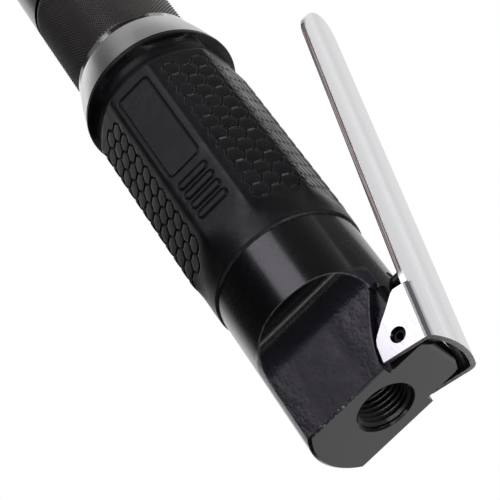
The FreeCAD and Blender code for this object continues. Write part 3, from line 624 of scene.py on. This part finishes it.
# (x, radius) of the front lip and the valley behind it
FRONT_VALLEY = [
    (GRIP_X0, 21.05), (-118.95, 21.3), (-118.4, 21.35), (-117.9, 21.15),
    (-117.3, 20.0), (-116.7, 19.45), (-115.7, 19.15), (-114.4, 19.2),
    (-113.2, 19.6), (-112.2, 20.25), (-111.2, 21.2), (-110.2, 22.6),
]
LIP_END_X = -117.9
VALLEY_BLEND = 0.75
CELL = 4.5                           # honeycomb cell pitch
ROW_PITCH = CELL * 0.866
FIRST_CELL_X, CELLS_ALONG = -106.6, 15
TREAD_X0, TREAD_X1 = -107.5, -55.2   # cells centred outside this are left out
RIB_X, RIB_PITCH, RIBS, RIB_HALF = -72.6, 3.6, 4, 1.15


def sector(angles, centre, half_width):
    """Columns within half_width degrees of centre, and their angles from it."""
    turn = (angles - math.radians(centre) + math.pi) % (2 * math.pi) - math.pi
    columns = np.where(np.abs(turn) < math.radians(half_width))[0]
    return columns, turn[columns]


def honeycomb(along, across, low, high):
    """Groove depth and cell doming of one facet's tread."""
    rows = int(math.ceil((high - low) / ROW_PITCH))
    # rows are laid from the edge farther from the facet's middle line's low side
    if low + high >= 0:
        first_row = low + CELL / 2
    else:
        first_row = high - CELL / 2 - (rows - 1) * ROW_PITCH
    centres, used = [], []
    for row in range(-2, rows + 2):
        for column in range(-1, CELLS_ALONG):
            x = FIRST_CELL_X + column * CELL + (CELL / 2 if row % 2 else 0)
            centres.append((x, first_row + row * ROW_PITCH))
            used.append(0 <= row < rows and TREAD_X0 <= x <= TREAD_X1)
    centres, used = np.array(centres), np.array(used)
    # squared distances to the nearest and second nearest centre, and which they are
    near_sq = np.full(along.shape, 1e9)
    next_sq = np.full(along.shape, 1e9)
    near = np.zeros(along.shape, int)
    following = np.zeros(along.shape, int)
    for i, (x, s) in enumerate(centres):
        dist_sq = (along - x) ** 2 + (across - s) ** 2
        nearer = dist_sq < near_sq
        second = (~nearer) & (dist_sq < next_sq)
        next_sq = np.where(nearer, near_sq, np.where(second, dist_sq, next_sq))
        following = np.where(nearer, near, np.where(second, i, following))
        near_sq = np.where(nearer, dist_sq, near_sq)
        near = np.where(nearer, i, near)
    gap = np.hypot(*np.moveaxis(centres[near] - centres[following], -1, 0))
    to_wall = (next_sq - near_sq) / (2 * np.maximum(gap, 0.1))
    groove = np.where(used[near] | used[following],
                      0.40 * (1 - smoothstep(to_wall, 0.06, 0.34)), 0.0)
    dome = np.where(used[near], 0.05 * (1 - np.clip(near_sq / (CELL / 2) ** 2, 0, 1)), 0.0)
    return groove, dome


def rounded_rect(along, up, x0, x1, z0, z1, corner):
    """Signed distance to a rounded rectangle, negative inside."""
    qx = np.abs(along - (x0 + x1) / 2) - (x1 - x0) / 2 + corner
    qz = np.abs(up - (z0 + z1) / 2) - (z1 - z0) / 2 + corner
    outside = np.hypot(np.maximum(qx, 0), np.maximum(qz, 0))
    return outside + np.minimum(np.maximum(qx, qz), 0) - corner


def outline_groove(distance, deep):
    return deep * (1 - smoothstep(np.abs(distance), 0.08, 0.34))


def grip():
    xs = np.unique(np.concatenate([
        np.linspace(GRIP_X0, -115.5, 36), np.arange(-115.5, -48.0, 0.2),
        np.linspace(-48.0, -46.2, 8), np.linspace(-46.1, GRIP_X1, 12)]))
    station = xs[:, None]
    angles = circle_angles(640)
    total = np.zeros(len(angles))
    for angle, dist, _ in FACETS:
        cosine = np.clip(np.cos(angles - math.radians(angle)), 0, 1)
        total += (cosine / dist) ** CORNER_POWER
    radius = np.repeat((total ** (-1.0 / CORNER_POWER))[None, :], len(xs), 0)
    # rear: the facets fade into a round collar
    collar = np.interp(xs, *zip(*REAR_COLLAR))[:, None]
    fade = smoothstep(station, -58.5, -49.0)
    radius = radius * (1 - fade) + collar * fade
    # front: the facets roll down into a valley behind a thin round lip
    valley = np.interp(xs, *zip(*FRONT_VALLEY))[:, None]
    blend = np.clip(0.5 + 0.5 * (valley - radius) / VALLEY_BLEND, 0, 1)
    rolled = valley * (1 - blend) + radius * blend - VALLEY_BLEND * blend * (1 - blend)
    radius = np.where(station < LIP_END_X, valley, rolled)

    depth = np.zeros_like(radius)
    for angle, dist, tread in FACETS:
        if tread is None:
            continue
        columns, turn = sector(angles, angle, 31)
        across, along = np.meshgrid(dist * np.tan(turn), xs)
        groove, dome = honeycomb(along, across, *tread)
        depth[:, columns] = np.maximum(depth[:, columns], groove)
        radius[:, columns] += dome * (1 - fade)
    # side panels: a sunk rounded panel, then plain ribs
    for angle, sign in ((0.0, 1.0), (180.0, -1.0)):
        columns, turn = sector(angles, angle, 19)
        up, along = np.meshgrid(sign * (SIDE_R * np.tan(turn)), xs)
        panel = rounded_rect(along, up, -108.3, -77.0, -5.4, 4.6, corner=1.3)
        groove = outline_groove(panel, deep=0.34)
        radius[:, columns] -= 0.10 * smoothstep(-panel, -0.1, 0.3)
        for i in range(RIBS):
            x = RIB_X + i * RIB_PITCH
            rib = rounded_rect(along, up, x - RIB_HALF, x + RIB_HALF, -5.0, 4.2, corner=1.1)
            groove = np.maximum(groove, outline_groove(rib, deep=0.28))
            radius[:, columns] += 0.16 * smoothstep(-rib, -0.05, 0.55)
        depth[:, columns] = np.maximum(depth[:, columns], groove)
    radius = np.clip(radius - depth, SEAT_R + 0.3, GRIP_MAX_R)
    obj = sleeve("grip_rubber_skin", xs, radius, SEAT_R, RUBBER, smooth_angle=60)
    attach(obj, "housing")
    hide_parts("grip_sleeve")


# ---------------------------------------------------------------------------
# clamp nut with a cut diamond knurl (mm)
# ---------------------------------------------------------------------------
NUT_X0, NUT_X1, NUT_R, NUT_BORE_R = -165.0, -133.3, 17.05, 15.25
KNURL_COUNT, KNURL_DEPTH = 100, 0.42


def knurled_nut():
    pitch = 2 * math.pi * NUT_R / KNURL_COUNT
    count = KNURL_COUNT * 4

    def zigzag(distance):
        return np.abs((distance / pitch) % 1.0 - 0.5) * 2

    def end_ring(radius):
        return np.full((1, count), radius)

    xs = np.arange(NUT_X0 + 0.9, NUT_X1 - 0.45, pitch / 4)
    around = circle_angles(count)[None, :] * NUT_R
    along = xs[:, None]
    diamonds = np.minimum(zigzag(around + along), zigzag(around - along))
    height = KNURL_DEPTH * (diamonds ** 0.9)
    # the knurl fades to a plain band at both ends
    fade = (smoothstep(along, NUT_X0 + 0.7, NUT_X0 + 2.2)
            * (1 - smoothstep(along, NUT_X1 - 1.1, NUT_X1 - 0.6)))
    radius = NUT_R - KNURL_DEPTH + height * fade + 0.10 * (1 - fade)
    xs = np.concatenate([[NUT_X0, NUT_X0 + 0.45], xs, [NUT_X1 - 0.42, NUT_X1]])
    radius = np.concatenate([end_ring(16.2), end_ring(16.55), radius,
                             end_ring(NUT_R - 0.2), end_ring(16.6)])
    obj = sleeve("clamp_nut_knurled", xs, radius, NUT_BORE_R, KNURL, smooth_angle=25)
    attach(obj, "housing")
    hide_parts("clamp_nut")


# ---------------------------------------------------------------------------
# inlet thread: one helical ridge inside the bore, running out at both ends (mm)
# ---------------------------------------------------------------------------
THREAD_X, THREAD_PITCH, THREAD_TURNS, THREAD_SEGMENTS = -0.75, 1.411, 8.2, 64
THREAD_ROOT_R, THREAD_RUNOUT_R, THREAD_HEIGHT = 6.85, 6.84, 0.72
RUNOUT_TURNS = 0.4


def inlet_thread():
    steps = int(THREAD_SEGMENTS * THREAD_TURNS)
    runout = THREAD_SEGMENTS * RUNOUT_TURNS
    verts, faces = [], []
    for i in range(steps + 1):
        angle = 2 * math.pi * i / THREAD_SEGMENTS
        x = THREAD_X - THREAD_PITCH * i / THREAD_SEGMENTS
        crest = THREAD_RUNOUT_R - THREAD_HEIGHT * min(1.0, i / runout, (steps - i) / runout)
        for dx, r in ((-0.60, THREAD_ROOT_R), (-0.10, crest), (0.10, crest),
                      (0.60, THREAD_ROOT_R)):
            verts.append(((x + dx) * MM, -r * math.cos(angle) * MM, r * math.sin(angle) * MM))
    for i in range(steps):
        for k in range(4):
            a, b = i * 4 + k, i * 4 + (k + 1) % 4
            faces.append((a, b, b + 4, a + 4))
    faces.append((3, 2, 1, 0))
    faces.append(tuple(steps * 4 + k for k in range(4)))
    obj = make_mesh("inlet_thread", verts, faces, THREAD, smooth_angle=25)
    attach(obj, "housing")


def valve_spring():
    source = frame["nodes"]["valve_spring"]
    obj = bpy.data.objects.new("valve_spring_coil", source.data.copy())
    bpy.context.scene.collection.objects.link(obj)
    obj.matrix_world = source.matrix_world.copy()
    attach(obj, "housing")
    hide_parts("valve_spring")
    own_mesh(obj)


grip()
knurled_nut()
inlet_thread()
valve_spring()


# ---------------------------------------------------------------------------
# camera: the tail towards the lens, rolled so the tool runs down the frame
# ---------------------------------------------------------------------------
CAMERA_AT = (0.23090929, -0.34328951, 0.08034989)
# the camera's own axes in the scene
CAMERA_RIGHT = (0.4480123, 0.55348562, 0.7020959)
CAMERA_UP = (-0.62836735, -0.36368324, 0.68766923)
CAMERA_BACK = (0.63595554, -0.74925841, 0.18485773)

scene = bpy.context.scene
camera_data = bpy.data.cameras.new("cam")
camera_data.sensor_width = 36.0
camera_data.lens = 135.866
camera_data.clip_start = 0.01
camera_data.clip_end = 20.0
camera = bpy.data.objects.new("cam", camera_data)
scene.collection.objects.link(camera)
turn_to_view = Matrix((CAMERA_RIGHT, CAMERA_UP, CAMERA_BACK)).transposed()
camera.matrix_world = Matrix.Translation(CAMERA_AT) @ turn_to_view.to_4x4()
scene.camera = camera


# ---------------------------------------------------------------------------
# studio
# ---------------------------------------------------------------------------
WHITE = (1, 1, 1)
scene.view_settings.view_transform = "Standard"
scene.view_settings.look = "None"


def studio_world():
    """White to the camera; to other rays dim on the lens side and white behind the tool."""
    world = bpy.data.worlds.new("studio")
    scene.world = world
    world.use_nodes = True
    world.node_tree.nodes.clear()
    sky = Graph(world.node_tree)
    output = sky.node("ShaderNodeOutputWorld")
    seen = sky.node("ShaderNodeBackground")
    sky.link(WHITE, seen.inputs[0])
    sky.link(1.0, seen.inputs[1])
    coords = sky.node("ShaderNodeTexCoord").outputs
    direction = sky.node("ShaderNodeVectorMath", operation="NORMALIZE")
    sky.link(coords["Camera"], direction.inputs[0])
    away = sky.separate(direction.outputs[0])[2]
    above = sky.rise(sky.separate(coords["Generated"])[2], over=(-0.25, 0.10))
    # below the horizon the white starts further round
    upper = sky.add(sky.rise(away, over=(0.0, 0.30), to=(0.10, 0.30)),
                    sky.rise(away, over=(0.44, 0.85), to=(0.0, 0.45)))
    lower = sky.rise(away, over=(0.60, 0.88), to=(0.02, 0.95))
    level = sky.add(sky.mul(upper, above), sky.mul(lower, sky.sub(1.0, above)))
    hidden = sky.node("ShaderNodeBackground")
    sky.link(WHITE, hidden.inputs[0])
    sky.link(level, hidden.inputs[1])
    sky.camera_switch(hidden, seen, output)


def softbox(name, at, target, size, power, color=WHITE):
    light = bpy.data.lights.new(name, "AREA")
    light.shape = "RECTANGLE"
    light.size, light.size_y = size
    light.energy = power
    light.color = color
    obj = bpy.data.objects.new(name, light)
    scene.collection.objects.link(obj)
    obj.location = at
    obj.rotation_mode = "QUATERNION"
    obj.rotation_quaternion = (Vector(target) - Vector(at)).to_track_quat("-Z", "Y")


TAIL, LEVER, GRIP, HEAD = ((x, 0.0, 0.0) for x in (0.0, -0.02, -0.05, -0.12))   # aims

studio_world()
softbox("key_left", at=(-0.537, -0.759, 0.072), target=GRIP, size=(0.48, 0.50), power=1.52,
        color=(0.95, 0.905, 1.0))
softbox("strip_right", at=(0.92, -0.20, -0.12), target=LEVER, size=(0.07, 0.7), power=0.45)
softbox("strip_right_2", at=(0.80, -0.48, -0.10), target=LEVER, size=(0.035, 0.7), power=0.12)
softbox("top", at=(-0.28, 0.32, 0.80), target=GRIP, size=(1.0, 0.8), power=0.95)
softbox("rear_right", at=(0.60, 0.72, -0.02), target=TAIL, size=(0.6, 0.6), power=0.85)
softbox("head_end", at=(-0.90, -0.27, -0.14), target=HEAD, size=(0.7, 0.7), power=0.13)
softbox("head_end_low", at=(-0.82, 0.05, -0.48), target=HEAD, size=(0.42, 0.42), power=0.16)
softbox("over_shoulder", at=(0.34, -0.38, 0.72), target=GRIP, size=(0.26, 0.26), power=1.4)

FLOOR_Z, FLOOR_HALF = -0.031, 6


def seamless_floor():
    """A floor that is plain white to the camera and unseen by the tool."""
    mesh = bpy.data.meshes.new("floor")
    corners = ((-1, -1), (1, -1), (1, 1), (-1, 1))
    mesh.from_pydata([(x * FLOOR_HALF, y * FLOOR_HALF, FLOOR_Z) for x, y in corners], [],
                     [(0, 1, 2, 3)])
    floor = bpy.data.objects.new("floor", mesh)
    scene.collection.objects.link(floor)
    material, paper = new_material("floor_paper")
    graph = Graph(material.node_tree)
    graph.link((0.9, 0.9, 0.9), paper.inputs["Base Color"])
    graph.link(0.9, paper.inputs["Roughness"])
    glow = graph.node("ShaderNodeEmission")
    graph.link(WHITE, glow.inputs[0])
    graph.link(1.0, glow.inputs[1])
    output = next(n for n in graph.tree.nodes if n.type == "OUTPUT_MATERIAL")
    graph.camera_switch(paper, glow, output)
    mesh.materials.append(material)
    floor.visible_glossy = False
    floor.visible_diffuse = False
    floor.visible_shadow = False


seamless_floor()
